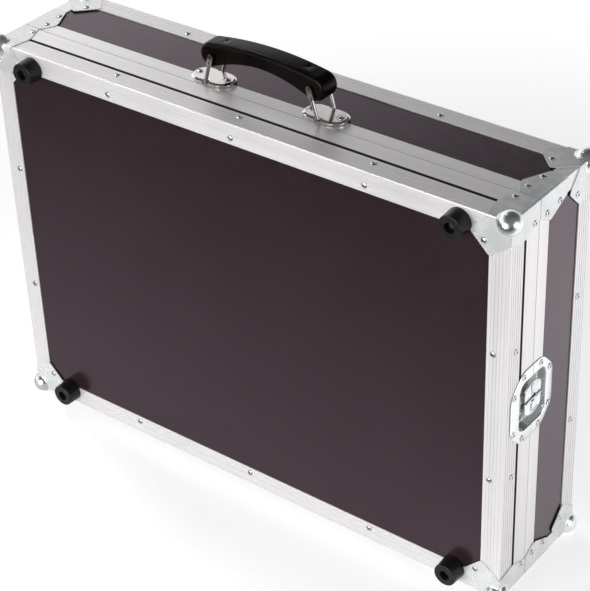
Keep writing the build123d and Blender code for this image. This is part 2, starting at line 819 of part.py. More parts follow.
# Moulded grip, arched, with a channel along its underside
eye_x = eye_spacing / 2
grip_half_width = stirrup_half_span - stirrup_wire - grip_clearance
GRIP = Plane(origin=(0, 0, 0), x_dir=(1, 0, 0), z_dir=(0, -1, 0))
with BuildPart() as grip:
    with BuildSketch(GRIP):
        with BuildLine():
            ThreePointArc(
                (-grip_shoulder, grip_end_top), (0, grip_top), (grip_shoulder, grip_end_top)
            )
            ThreePointArc(
                (grip_shoulder, grip_end_top), (grip_end, grip_end_height), (grip_shoulder, grip_end_low)
            )
            Spline(
                (grip_shoulder, grip_end_low),
                (grip_arch, grip_arch_height),
                (0, grip_under),
                (-grip_arch, grip_arch_height),
                (-grip_shoulder, grip_end_low),
            )
            ThreePointArc(
                (-grip_shoulder, grip_end_low), (-grip_end, grip_end_height), (-grip_shoulder, grip_end_top)
            )
        make_face()
    extrude(amount=grip_half_width, both=True)
    upper_edges = grip.edges().filter_by(GeomType.CIRCLE).filter_by(
        lambda e: abs(abs(e.center().Y) - grip_half_width) < grip_clearance
    )
    fillet(upper_edges, grip_round)
    for across in (-1, 1):
        with BuildSketch(Plane(origin=(across * eye_x, 0, eye_height), z_dir=(0, 1, 0))):
            Circle(pin_radius)
        extrude(amount=grip_half_width, both=True, mode=Mode.SUBTRACT)
        with BuildSketch(Plane(origin=(across * grip_hole_place, 0, grip_hole_floor), z_dir=(0, 0, 1))):
            Circle(grip_hole_radius)
        extrude(amount=grip_top - grip_hole_floor, mode=Mode.SUBTRACT)
    with BuildSketch(GRIP):
        with BuildLine():
            ThreePointArc(
                (-grip_arch, grip_arch_height),
                (0, grip_under + grip_channel_depth),
                (grip_arch, grip_arch_height),
            )
            Line((grip_arch, grip_arch_height), (grip_arch, 0))
            Line((grip_arch, 0), (-grip_arch, 0))
            Line((-grip_arch, 0), (-grip_arch, grip_arch_height))
        make_face()
    extrude(amount=grip_channel / 2, both=True, mode=Mode.SUBTRACT)
save("handle_grip", grip.part.moved(Location((0, handle_y, high_z))))

# Pins through the grip's ends and the stirrups' eyes
pin_half = eye_inner + eye_thick + running_clearance
with BuildPart() as pin:
    PIN = Plane(origin=(eye_x, handle_y, high_z + eye_height), z_dir=(0, 1, 0))
    with BuildSketch(PIN):
        Circle(pin_radius)
    extrude(amount=pin_half, both=True)
    for start in (pin_half, -pin_half - pin_head_height):
        with BuildSketch(PIN.offset(start)):
            Circle(pin_head_radius)
        extrude(amount=pin_head_height)
    for end in (1, -1):
        with BuildSketch(PIN.offset(end * (pin_half + pin_head_height))):
            Circle(pin_bore_radius)
        extrude(amount=-end * pin_bore_depth, mode=Mode.SUBTRACT)
pair("handle_pins", pin.part)

# Rubber feet, each stepped over the angle's edge and hollowed for its screw
with BuildPart() as foot:
    FOOT = foot_places[0]
    with Locations(FOOT):
        Cone(
            foot_base_radius, foot_end_radius, foot_height,
            align=(Align.CENTER, Align.CENTER, Align.MIN),
        )
    fillet(foot.edges().filter_by(GeomType.CIRCLE).sort_by(Axis.Y)[0], foot_round)
    with BuildSketch(FOOT):
        Circle(foot_base_radius)
        with Locations((0, foot_from_edge - angle_leg + foot_base_radius)):
            Rectangle(2 * foot_base_radius, 2 * foot_base_radius, mode=Mode.SUBTRACT)
    extrude(amount=-angle_thick)
    with BuildSketch(FOOT.offset(foot_height)):
        Circle(foot_recess_radius)
    extrude(amount=-foot_recess_depth, mode=Mode.SUBTRACT)
    with BuildSketch(FOOT):
        Circle(screw_radius + screw_clearance)
    extrude(amount=foot_height, mode=Mode.SUBTRACT)
with BuildPart() as foot_screw:
    with BuildSketch(FOOT.offset(-angle_thick - screw_bite)):
        Circle(screw_radius)
    extrude(amount=angle_thick + screw_bite + foot_height - foot_recess_depth)
    with BuildSketch(FOOT.offset(foot_height - foot_recess_depth)):
        Circle(screw_head_radius)
    extrude(amount=screw_head_height)
    with BuildSketch(FOOT.offset(foot_height - foot_recess_depth + screw_head_height)):
        Rectangle(screw_head_radius, screw_slot)
        Rectangle(screw_slot, screw_head_radius)
    extrude(amount=-screw_slot, mode=Mode.SUBTRACT)
with BuildPart() as feet:
    for name in CORNERS:
        add(quadrant(foot.part, name))
with BuildPart() as foot_screws:
    for name in CORNERS:
        add(quadrant(foot_screw.part, name))
save("rubber_feet", feet.part)
save("foot_screws", foot_screws.part)


def lining(name, floor, mouth):
    """Foam tray inside one shell, from its floor depth to the mouth of its sides."""
    outer = wall_inset + foam_clearance
    inner = outer + foam_side
    start, end = sorted((floor, mouth))
    pocket_floor = pan_depth + axle_head_height + cutout_clearance
    pocket_margin = cutout_margin + cutout_clearance
    with BuildPart() as foam:
        slab(
            (outer - side_x, near_y + start, low_z + outer),
            (side_x - outer, near_y + end, high_z - outer),
        )
        inward = foam_floor if mouth > floor else -foam_floor
        hollow_start, hollow_end = sorted((floor + inward, mouth))
        with Locations((0, near_y + (hollow_start + hollow_end) / 2, mid_z)):
            Box(
                case_width - 2 * inner, hollow_end - hollow_start, case_height - 2 * inner,
                mode=Mode.SUBTRACT,
            )
        for across in SIDES.values():
            pocket_x = across * (side_x - (wall_inset + pocket_floor) / 2)
            with Locations((pocket_x, part_y + pan_centre, mid_z)):
                Box(
                    pocket_floor - wall_inset,
                    2 * (pan_half_width + pocket_margin),
                    2 * (pan_half_height + pocket_margin),
                    mode=Mode.SUBTRACT,
                )
    save(name, foam.part)


lining("base_lining", wall_inset + foam_clearance, base_mouth - rim_inner_leaf - foam_clearance)
lining("lid_lining", lid_panel_start - foam_clearance, lid_mouth + rim_inner_leaf + foam_clearance)


def rivet_heads(name, places):
    """Domed heads of the blind rivets, one on each given plane."""
    with BuildPart() as heads:
        for place in places:
            with Locations(place):
                Cone(
                    rivet_radius, rivet_crown, rivet_height,
                    align=(Align.CENTER, Align.CENTER, Align.MIN),
                )
    save(name, heads.part)


def face_rows(face_y, outward):
    """Rivet planes round one of the two large faces."""
    places = []
    for step in (-rivet_spacing, 0, rivet_spacing):
        for up in (-1, 1):
            height = mid_z + up * (case_height / 2 - rivet_edge)
            places.append(Plane(origin=(step, face_y, height), z_dir=(0, outward, 0)))
    for rise in (-rivet_rise, rivet_rise):
        for across in (-1, 1):
            place = across * (side_x - rivet_edge)
            places.append(Plane(origin=(place, face_y, mid_z + rise), z_dir=(0, outward, 0)))
    return places


def edge_rows(depth_y):
    """Rivet planes round the top, bottom and sides at one depth."""
    places = []
    for step in (-rivet_spacing, 0, rivet_spacing):
        places.append(Plane(origin=(step, depth_y, high_z), z_dir=(0, 0, 1)))
        places.append(Plane(origin=(step, depth_y, low_z), z_dir=(0, 0, -1)))
    for rise in (-rivet_rise, rivet_rise):
        for across in (-1, 1):
            places.append(Plane(origin=(across * side_x, depth_y, mid_z + rise), z_dir=(across, 0, 0)))
    return places


def corner_rivets(face_y, outward):
    """Rivet planes on the face petals of the four corners."""
    places = []
    for across, up in CORNERS.values():
        spot = (across * (side_x - petal_rivet), face_y, mid_z + up * (case_height / 2 - petal_rivet))
        places.append(Plane(origin=spot, z_dir=(0, outward, 0)).offset(steel_thick))
    return places


def leaf_rivets(depth_y, from_edge):
    """Rivet planes on the top, bottom and side leaves of the four corners."""
    places = []
    for across, up in CORNERS.values():
        over = (across * (side_x - from_edge), depth_y, mid_z + up * case_height / 2)
        beside = (across * side_x, depth_y, mid_z + up * (case_height / 2 - from_edge))
        places.append(Plane(origin=over, z_dir=(0, 0, up)).offset(steel_thick))
        places.append(Plane(origin=beside, z_dir=(across, 0, 0)).offset(steel_thick))
    return places


def dish_rivets(corner_x, flat_x):
    """Rivet planes on one half of both latch dishes."""
    places = []
    for across in SIDES.values():
        for up in (-1, 1):
            for run, rise in (
                (corner_x, dish_half_height - dish_corner_rise),
                (flat_x, dish_half_height - dish_rivet_inset),
            ):
                spot = (across * (side_x + steel_thick), part_y + run, mid_z + up * rise)
                places.append(Plane(origin=spot, z_dir=(across, 0, 0)))
    return places


rivet_heads(
    "base_rivets",
    face_rows(near_y, -1)
    + edge_rows(near_y + rivet_edge)
    + corner_rivets(near_y, -1)
    + leaf_rivets(near_y + leaf_rivet_depth, leaf_rivet_edge)
    + dish_rivets(dish_rivet_inset - dish_base_reach, dish_rivet_flat - dish_base_reach),
)
plate_rivets = [
    Plane(origin=(across * plate_x + reach, handle_y, high_z + plate_crown), z_dir=(0, 0, 1))
    for across in SIDES.values()
    for reach in (-plate_rivet, plate_rivet)
]
rivet_heads(
    "lid_rivets",
    face_rows(far_y, 1)
    + edge_rows(far_y - rivet_edge)
    + corner_rivets(far_y, 1)
    + leaf_rivets(far_y - petal_rivet, petal_rivet)
    + leaf_rivets(near_y + lid_mouth + brace_rivet_depths[0], brace_rivet_edges[0])
    + leaf_rivets(near_y + lid_mouth + brace_rivet_depths[1], brace_rivet_edges[1])
    + dish_rivets(dish_lid_reach - dish_rivet_inset, dish_lid_reach - dish_rivet_flat)
    + plate_rivets,
)
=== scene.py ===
import json
import math

import bmesh
import bpy
from mathutils import Matrix, Vector


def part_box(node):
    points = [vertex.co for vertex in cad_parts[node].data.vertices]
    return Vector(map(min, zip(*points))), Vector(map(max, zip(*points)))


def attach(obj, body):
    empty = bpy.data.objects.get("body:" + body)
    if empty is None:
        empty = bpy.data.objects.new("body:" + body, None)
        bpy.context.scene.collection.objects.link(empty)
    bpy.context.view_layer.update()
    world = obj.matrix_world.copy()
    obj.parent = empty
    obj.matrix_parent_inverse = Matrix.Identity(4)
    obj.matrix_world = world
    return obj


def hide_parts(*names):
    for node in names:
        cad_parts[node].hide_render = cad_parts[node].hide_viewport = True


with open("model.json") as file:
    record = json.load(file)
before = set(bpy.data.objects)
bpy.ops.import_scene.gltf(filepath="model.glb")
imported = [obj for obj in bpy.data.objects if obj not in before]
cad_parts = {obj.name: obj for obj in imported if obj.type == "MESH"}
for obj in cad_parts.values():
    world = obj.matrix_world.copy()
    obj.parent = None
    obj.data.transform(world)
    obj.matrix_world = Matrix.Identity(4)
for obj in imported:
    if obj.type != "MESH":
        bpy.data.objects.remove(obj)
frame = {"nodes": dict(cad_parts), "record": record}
nodes = frame["nodes"]
bodies = frame["record"]["behaviour"]["bodies"]
slot_of = {part["node"]: part["material_slot"] for part in frame["record"]["subparts"]}
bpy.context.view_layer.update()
MM = 0.001

scene = bpy.context.scene
scene.view_settings.view_transform = "Standard"


# Camera, solved from the case's own edges in the photograph
SENSOR_WIDTH = 36.0
LENS = 116.058
CAMERA_PLACE = (1.386557, -1.705521, 1.775971)
CAMERA_TURN = (0.8394253, 0.439208, 0.1638248, 0.2749962)
NEAREST, FARTHEST = 0.05, 60

camera_data = bpy.data.cameras.new("camera")
camera_data.sensor_width = SENSOR_WIDTH
camera_data.lens = LENS
camera_data.clip_start = NEAREST
camera_data.clip_end = FARTHEST
camera = bpy.data.objects.new("camera", camera_data)
scene.collection.objects.link(camera)
camera.rotation_mode = "QUATERNION"
camera.location = CAMERA_PLACE
camera.rotation_quaternion = CAMERA_TURN
scene.camera = camera


# Node helpers
NOISE_RANGE = (0.3, 0.7)


class Graph:
    """A material's or the world's node tree, with short calls to add to it."""

    def __init__(self, tree):
        self.tree = tree
        self.tree.nodes.clear()

    def node(self, kind, inputs=None, **settings):
        made = self.tree.nodes.new(kind)
        for name, value in settings.items():
            setattr(made, name, value)
        for name, value in (inputs or {}).items():
            self.feed(made, name, value)
        return made

    def feed(self, made, name, value):
        socket = made.inputs[name]
        if isinstance(value, bpy.types.NodeSocket):
            self.tree.links.new(value, socket)
        else:
            socket.default_value = value

    def coordinates(self, scale=(1, 1, 1)):
        place = self.node("ShaderNodeTexCoord")
        mapping = self.node("ShaderNodeMapping", {"Vector": place.outputs["Object"], "Scale": scale})
        return mapping.outputs["Vector"]

    def split(self, vector):
        return self.node("ShaderNodeSeparateXYZ", {"Vector": vector}).outputs

    def noise(self, vector, scale, detail=3.0, roughness=0.5, distortion=0.0):
        made = self.node("ShaderNodeTexNoise", {
            "Vector": vector, "Scale": scale, "Detail": detail,
            "Roughness": roughness, "Distortion": distortion,
        })
        return made.outputs["Fac"]

    def ramp(self, factor, stops):
        made = self.node("ShaderNodeValToRGB", {"Fac": factor})
        elements = made.color_ramp.elements
        elements[0].position, elements[0].color = stops[0]
        elements[1].position, elements[1].color = stops[-1]
        for position, colour in stops[1:-1]:
            elements.new(position).color = colour
        return made.outputs["Color"]

    def span(self, value, low, high, to_low, to_high):
        made = self.node("ShaderNodeMapRange", {
            "Value": value, "From Min": low, "From Max": high, "To Min": to_low, "To Max": to_high,
        })
        return made.outputs["Result"]

    def spread(self, noise, to_low, to_high):
        """Carries a noise's usual range over to another range."""
        return self.span(noise, *NOISE_RANGE, to_low, to_high)

    def maths(self, operation, first, second=0.0):
        made = self.node("ShaderNodeMath", operation=operation)
        self.feed(made, 0, first)
        self.feed(made, 1, second)
        return made.outputs["Value"]

    def mix(self, factor, first, second, blend="MIX"):
        made = self.node("ShaderNodeMix", data_type="RGBA", blend_type=blend)
        self.feed(made, 0, factor)
        self.feed(made, 6, first)
        self.feed(made, 7, second)
        return made.outputs[2]

    def bump(self, height, strength, distance, normal=None):
        made = self.node("ShaderNodeBump", {"Height": height, "Strength": strength, "Distance": distance})
        if normal is not None:
            self.feed(made, "Normal", normal)
        return made.outputs["Normal"]


def grey(value, tint=(1, 1, 1)):
    return (value * tint[0], value * tint[1], value * tint[2], 1)


def material(name):
    made = bpy.data.materials.new(name)
    made.use_nodes = True
    graph = Graph(made.node_tree)
    shader = graph.node("ShaderNodeBsdfPrincipled")
    graph.node("ShaderNodeOutputMaterial", {"Surface": shader.outputs["BSDF"]})
    return made, graph, shader


# Middle of the narrow strip between the near edge angle and the closing extrusion, and from that
# middle the reach of the grime and painted shade on its recessed film and of the dirt and painted shade
# on the aluminium beside it
STRIP_Y = (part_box("base_angle_top")[1].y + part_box("base_rim_top")[0].y) / 2
FILM_GRIME_AND_SHADE_REACH = (0.0021, 0.0025)
EDGE_DIRT_AND_SHADE_REACH = (0.0026, 0.0030)

# Balls of the corners: their radius, the reach of their pressed flare and their middles
BALL_RADIUS = 0.016
BALL_FLARE = 0.0175
corner_boxes = [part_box(node) for node in nodes if "_corner_" in node]
BALL_X = max(high.x for low, high in corner_boxes) - BALL_RADIUS
BALL_Y = (
    min(low.y for low, high in corner_boxes) + BALL_RADIUS,
    max(high.y for low, high in corner_boxes) - BALL_RADIUS,
)
BALL_Z = (
    min(low.z for low, high in corner_boxes) + BALL_RADIUS,
    max(high.z for low, high in corner_boxes) - BALL_RADIUS,
)


def seam_strip(graph, full, none):
    """1 along the strip beside the seam, up to full metres from its middle, and 0 beyond none."""
    depth = graph.split(graph.coordinates())["Y"]
    away = graph.maths("ABSOLUTE", graph.maths("SUBTRACT", depth, STRIP_Y))
    return graph.span(away, full, none, 1.0, 0.0)


def make_plywood():
    """Dark brown phenolic film over plywood: glossy, faintly mottled, with a fine pressed texture."""
    made, graph, shader = material("phenolic_plywood")
    vector = graph.coordinates()
    mottle = graph.noise(vector, 7.0, 5.0, 0.6)
    cloud = graph.noise(vector, 55.0, 4.0, 0.65)
    grain = graph.noise(graph.coordinates((25, 25, 240)), 1.0, 4.0, 0.6)
    colour = graph.ramp(mottle, [
        (0.3, (0.0176, 0.0104, 0.0108, 1)),
        (0.52, (0.0195, 0.0117, 0.0123, 1)),
        (0.75, (0.0222, 0.0135, 0.0145, 1)),
    ])
    colour = graph.mix(graph.span(cloud, 0.35, 0.7, 0.0, 0.35), colour, (0.0236, 0.0146, 0.0160, 1))
    # Grime and painted shade: the film in the recessed strip is darkened almost to black in place of the
    # groove's shadow
    grime_and_groove_shade = seam_strip(graph, *FILM_GRIME_AND_SHADE_REACH)
    graph.feed(shader, "Base Color", graph.mix(grime_and_groove_shade, colour, (0.0040, 0.0028, 0.0028, 1)))
    satin = graph.maths("ADD", graph.spread(cloud, 0.17, 0.24), graph.spread(mottle, -0.02, 0.03))
    graph.feed(shader, "Roughness", graph.maths("ADD", satin, graph.maths("MULTIPLY", grime_and_groove_shade, 0.7)))
    shader.inputs["Specular IOR Level"].default_value = 0.60
    shader.inputs["Specular Tint"].default_value = (1.0, 0.62, 0.90, 1)
    fine = graph.noise(vector, 900.0, 2.0, 0.5)
    normal = graph.bump(fine, 0.04, 0.0004)
    graph.feed(shader, "Normal", graph.bump(grain, 0.03, 0.0006, normal))
    return made


def drawn_along(axis, lines):
    """Texture scale with lines per metre across an extrusion and hardly any change along it."""
    return tuple(0.25 if letter == axis else lines for letter in "xyz")


def make_aluminium(axis):
    """Extruded aluminium with soft drawing lines along its length."""
    made, graph, shader = material(f"aluminium_{axis}")
    lines = graph.noise(graph.coordinates(drawn_along(axis, 110)), 1.0, 1.0, 0.5)
    broad = graph.noise(graph.coordinates(drawn_along(axis, 28)), 1.0, 1.0, 0.5)
    cloud = graph.noise(graph.coordinates(), 9.0, 2.0, 0.5)
    colour = graph.ramp(lines, [
        (0.25, (0.86, 0.84, 0.845, 1)),
        (0.5, (0.89, 0.87, 0.875, 1)),
        (0.75, (0.92, 0.905, 0.91, 1)),
    ])
    colour = graph.mix(graph.spread(broad, 0.0, 0.4), colour, (0.83, 0.805, 0.815, 1))
    # Dirt and painted shade: the aluminium along the strip's edges is darkened, widening the groove's
    # shadow
    dirt_and_painted_shade = seam_strip(graph, *EDGE_DIRT_AND_SHADE_REACH)
    graph.feed(shader, "Base Color", graph.mix(dirt_and_painted_shade, colour, (0.10, 0.09, 0.09, 1)))
    shader.inputs["Metallic"].default_value = 0.45
    satin = graph.maths("ADD", graph.spread(lines, 0.31, 0.35), graph.spread(cloud, -0.03, 0.05))
    graph.feed(shader, "Roughness", satin)
    normal = graph.bump(lines, 0.03, 0.0002)
    graph.feed(shader, "Normal", graph.bump(broad, 0.04, 0.0006, normal))
    return made


def ball_share(graph, vector):
    """1 on the corner balls and 0 on the leaves outside their flare."""
    place = graph.split(vector)
    offsets = []
    for axis, (low, high) in (("X", (-BALL_X, BALL_X)), ("Y", BALL_Y), ("Z", BALL_Z)):
        middle, half = (low + high) / 2, (high - low) / 2
        folded = graph.maths("ABSOLUTE", graph.maths("SUBTRACT", place[axis], middle))
        offsets.append(graph.maths("SUBTRACT", folded, half))
    offset = graph.node("ShaderNodeCombineXYZ", {"X": offsets[0], "Y": offsets[1], "Z": offsets[2]})
    away = graph.node("ShaderNodeVectorMath", {0: offset.outputs["Vector"]}, operation="LENGTH")
    return graph.span(away.outputs["Value"], BALL_FLARE, BALL_RADIUS, 0.0, 1.0)


def make_zinc(name, leaf_metal, low, high, tone=1.0):
    """Pressed steel with bright zinc plating, its roughness from low to high.

    A leaf_metal under 1 is a passivated leaf, beside fully metallic balls.
    """
    made, graph, shader = material(name)
    vector = graph.coordinates()
    cloud = graph.noise(vector, 38.0, 2.0, 0.5, 0.4)
    speck = graph.noise(vector, 180.0, 1.0, 0.5)
    graph.feed(shader, "Base Color", graph.ramp(cloud, [
        (0.28, grey(tone, (0.70, 0.72, 0.735))),
        (0.5, grey(tone, (0.79, 0.805, 0.815))),
        (0.74, grey(tone, (0.86, 0.87, 0.875))),
    ]))
    satin = graph.maths("ADD", graph.spread(cloud, low, high), graph.spread(speck, -0.02, 0.03))
    if leaf_metal == 1.0:
        shader.inputs["Metallic"].default_value = 1.0
        graph.feed(shader, "Roughness", satin)
    else:
        ball = ball_share(graph, vector)
        ball_metal = graph.maths("MULTIPLY", ball, 1 - leaf_metal)
        graph.feed(shader, "Metallic", graph.maths("ADD", leaf_metal, ball_metal))
        ball_satin = graph.span(ball, 0.0, 1.0, 1.0, 1.15)
        graph.feed(shader, "Roughness", graph.maths("MULTIPLY", satin, ball_satin))
    graph.feed(shader, "Normal", graph.bump(graph.noise(vector, 22.0, 1.0), 0.05, 0.0012))
    return made


def make_nickel(name, low, high):
    """Plating of the handle's wire and plates, warmer than the corners, from low to high in tone."""
    made, graph, shader = material(name)
    cloud = graph.noise(graph.coordinates(), 60.0, 4.0, 0.6)
    colour = graph.ramp(cloud, [
        (0.3, grey(low, (1.0, 0.94, 0.92))),
        (0.7, grey(high, (1.0, 0.96, 0.94))),
    ])
    graph.feed(shader, "Base Color", colour)
    shader.inputs["Metallic"].default_value = 1.0
    graph.feed(shader, "Roughness", graph.spread(cloud, 0.11, 0.22))
    graph.feed(shader, "Normal", graph.bump(cloud, 0.08, 0.0008))
    return made


def make_fastener():
    """Steel of the rivet heads."""
    made, graph, shader = material("fastener_steel")
    vector = graph.coordinates()
    cloud = graph.noise(vector, 160.0, 4.0, 0.6)
    colour = graph.ramp(cloud, [(0.3, (0.46, 0.46, 0.475, 1)), (0.7, (0.72, 0.72, 0.735, 1))])
    graph.feed(shader, "Base Color", colour)
    shader.inputs["Metallic"].default_value = 1.0
    graph.feed(shader, "Roughness", graph.spread(cloud, 0.2, 0.36))
    graph.feed(shader, "Normal", graph.bump(graph.noise(vector, 900.0, 2.0), 0.06, 0.0003))
    return made


def make_mandrel_with_painted_shade():
    """Dull steel of the drawn mandrel and the bore's walls, darkened as painted shade deep in a rivet's
    bore.
    """
    made, graph, shader = material("drawn_mandrel_painted_shade")
    cloud = graph.noise(graph.coordinates(), 700.0, 3.0, 0.6)
    colour = graph.ramp(cloud, [(0.3, (0.03, 0.03, 0.032, 1)), (0.7, (0.12, 0.12, 0.125, 1))])
    graph.feed(shader, "Base Color", colour)
    shader.inputs["Metallic"].default_value = 0.8
    graph.feed(shader, "Roughness", graph.spread(cloud, 0.45, 0.65))
    return made


def make_rubber():
    """Black rubber of the feet, with a little dust."""
    made, graph, shader = material("moulded_rubber")
    vector = graph.coordinates()
    cloud = graph.noise(vector, 90.0, 4.0, 0.6)
    dust = graph.noise(vector, 600.0, 3.0, 0.6)
    colour = graph.ramp(cloud, [(0.3, (0.0085, 0.0080, 0.0074, 1)), (0.7, (0.0150, 0.0142, 0.0132, 1))])
    colour = graph.mix(graph.span(dust, 0.6, 0.78, 0.0, 0.3), colour, (0.030, 0.0285, 0.027, 1))
    graph.feed(shader, "Base Color", colour)
    graph.feed(shader, "Roughness", graph.spread(cloud, 0.28, 0.38))
    shader.inputs["Specular IOR Level"].default_value = 0.26
    graph.feed(shader, "Normal", graph.bump(dust, 0.12, 0.0004))
    return made


def make_grip():
    """Moulded black plastic with a fine leather-like grain."""
    made, graph, shader = material("moulded_grip")
    vector = graph.coordinates()
    cells = graph.node("ShaderNodeTexVoronoi", {"Vector": vector, "Scale": 620.0, "Randomness": 1.0})
    cells.feature = "SMOOTH_F1"
    cloud = graph.noise(vector, 26.0, 4.0, 0.6)
    colour = graph.ramp(cloud, [(0.3, (0.0007, 0.0005, 0.0004, 1)), (0.7, (0.0024, 0.0017, 0.0013, 1))])
    graph.feed(shader, "Base Color", colour)
    graph.feed(shader, "Roughness", graph.spread(cloud, 0.24, 0.44))
    shader.inputs["Specular IOR Level"].default_value = 0.11
    shader.inputs["Specular Tint"].default_value = (1.0, 0.82, 0.80, 1)
    graph.feed(shader, "Normal", graph.bump(cells.outputs["Distance"], 0.10, 0.0005))
    return made


def make_foam():
    """Dark open-pored foam of the linings."""
    made, graph, shader = material("profiled_foam")
    vector = graph.coordinates()
    cells = graph.node("ShaderNodeTexVoronoi", {"Vector": vector, "Scale": 900.0, "Randomness": 1.0})
    cloud = graph.noise(vector, 24.0, 4.0, 0.6)
    pores = graph.span(cells.outputs["Distance"], 0.0, 0.6, 0.55, 1.0)
    colour = graph.ramp(cloud, [(0.3, (0.032, 0.033, 0.036, 1)), (0.7, (0.055, 0.056, 0.060, 1))])
    graph.feed(shader, "Base Color", graph.mix(1.0, colour, pores, "MULTIPLY"))
    shader.inputs["Roughness"].default_value = 0.95
    shader.inputs["Sheen Weight"].default_value = 0.25
    shader.inputs["Sheen Roughness"].default_value = 0.6
    graph.feed(shader, "Normal", graph.bump(cells.outputs["Distance"], 0.5, 0.0010))
    return made


PLY = make_plywood()
ALUMINIUM = {axis: make_aluminium(axis) for axis in "xyz"}
ZINC = make_zinc("zinc_plated_steel", 0.42, 0.20, 0.30)
POLISHED = make_zinc("polished_zinc", 1.0, 0.10, 0.18, 0.92)
# Zinc darkened as painted shade, for the pan's recess and the latch hook
SHADED = make_zinc("zinc_with_painted_pan_shade", 1.0, 0.16, 0.26, 0.7)
PLATES = make_nickel("nickel_plated_plates", 0.66, 0.82)
WIRE = make_nickel("nickel_plated_wire", 0.34, 0.50)
FASTENER = make_fastener()
MANDREL_WITH_PAINTED_SHADE = make_mandrel_with_painted_shade()
RUBBER = make_rubber()
GRIP = make_grip()
FOAM = make_foam()


def aluminium_for(node):
    """Aluminium with its drawing lines along the node's length."""
    if node == "lid_edge_strips":
        return ALUMINIUM["y"]
    return ALUMINIUM["x" if node.endswith(("_top", "_bottom")) else "z"]


def look_of(node):
    slot = slot_of[node]
    if slot == "aluminium":
        return aluminium_for(node)
    if node.startswith("handle_stirrup") or node == "handle_pins":
        return WIRE
    if node == "handle_plates":
        return PLATES
    # The latch hook takes the zinc darkened as painted shade
    if node.startswith("latch_hook"):
        return SHADED
    if node.startswith("latch_") and slot == "zinc_steel" or node in ("keeper_dishes", "foot_screws"):
        return POLISHED
    return {
        "plywood": PLY, "zinc_steel": ZINC, "rubber": RUBBER,
        "grip_plastic": GRIP, "foam": FOAM, "fastener": FASTENER,
    }[slot]


for name, piece in nodes.items():
    piece.data.materials.clear()
    piece.data.materials.append(look_of(name))


# Edges of pressed and moulded pieces get the small radius, in millimetres, that the real ones have
SOFTENED = {
    "lid_braces": 0.25,
    "handle_plates": 0.5,
    "latch_rotor": 0.25,
    "latch_hook": 0.25,
    "handle_grip": 1.4,
}
WELD_WITHIN = 0.000002
SHARP_ANGLE = math.radians(32)


def soften(piece, width):
    weld = piece.modifiers.new("weld", "WELD")
    weld.merge_threshold = WELD_WITHIN
    bevel = piece.modifiers.new("bevel", "BEVEL")
    bevel.width = width * MM
    bevel.segments = 2
    bevel.limit_method = "ANGLE"
    bevel.angle_limit = SHARP_ANGLE
    bevel.use_clamp_overlap = True
    bevel.harden_normals = True


for name, piece in nodes.items():
    for prefix, width in SOFTENED.items():
        if name.startswith(prefix):
            soften(piece, width)


def body_of(node):
    return next(body for body, members in bodies.items() if node in members)


def new_piece(name, mesh, body, look):
    piece = bpy.data.objects.new(name, mesh)
    scene.collection.objects.link(piece)
    mesh.materials.append(look)
    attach(piece, body)
    return piece


def finish_mesh(work, name):
    bmesh.ops.recalc_face_normals(work, faces=work.faces)
    mesh = bpy.data.meshes.new(name)
    work.to_mesh(mesh)
    work.free()
    for face in mesh.polygons:
        face.use_smooth = True
    return mesh


def revolve(work, profile, place, steps, dark_within=0.0):
    """Adds a turned form: profile is (radius, height) pairs about the local z of place.

    Faces inside the radius dark_within take the second material.
    """
    rings = []
    for radius, height in profile:
        if radius == 0:
            rings.append([work.verts.new(place @ Vector((0, 0, height)))])
            continue
        ring = []
        for step in range(steps):
            turn = 2 * math.pi * step / steps
            point = Vector((radius * math.cos(turn), radius * math.sin(turn), height))
            ring.append(work.verts.new(place @ point))
        rings.append(ring)
    for number, (low, high) in enumerate(zip(rings, rings[1:])):
        reach = max(profile[number][0], profile[number + 1][0])
        for step in range(steps):
            after = (step + 1) % steps
            if len(low) == 1:
                face = work.faces.new((low[0], high[step], high[after]))
            elif len(high) == 1:
                face = work.faces.new((low[step], low[after], high[0]))
            else:
                face = work.faces.new((low[step], low[after], high[after], high[step]))
            face.material_index = 1 if reach < dark_within else 0


# Rivet heads, turned from (radius, height) in metres: flange, dome, rim of the bore and mandrel
RIVET = [
    (0, 0.0), (0.00425, 0.0), (0.00438, 0.00012), (0.0044, 0.00034), (0.00428, 0.00062),
    (0.0039, 0.00094), (0.0032, 0.00126), (0.0025, 0.00148), (0.00195, 0.00158),
    (0.00172, 0.00156), (0.00160, 0.00140), (0.00152, 0.00075), (0.00140, 0.00035),
    (0.0009, 0.00032), (0.0007, 0.00055), (0.0003, 0.00066), (0, 0.00068),
]
RIVET_BORE = 0.00165
RIVET_STEPS = 24
SAME_POINT = 0.00002
SAME_PLANE = 0.00005


def islands(node):
    """Points of each separate solid in a CAD node."""
    work = bmesh.new()
    work.from_mesh(nodes[node].data)
    bmesh.ops.remove_doubles(work, verts=work.verts, dist=SAME_POINT)
    seen = set()
    groups = []
    for start in work.verts:
        if start in seen:
            continue
        stack = [start]
        seen.add(start)
        points = []
        while stack:
            vertex = stack.pop()
            points.append(vertex.co.copy())
            for edge in vertex.link_edges:
                other = edge.other_vert(vertex)
                if other not in seen:
                    seen.add(other)
                    stack.append(other)
        groups.append(points)
    work.free()
    return groups


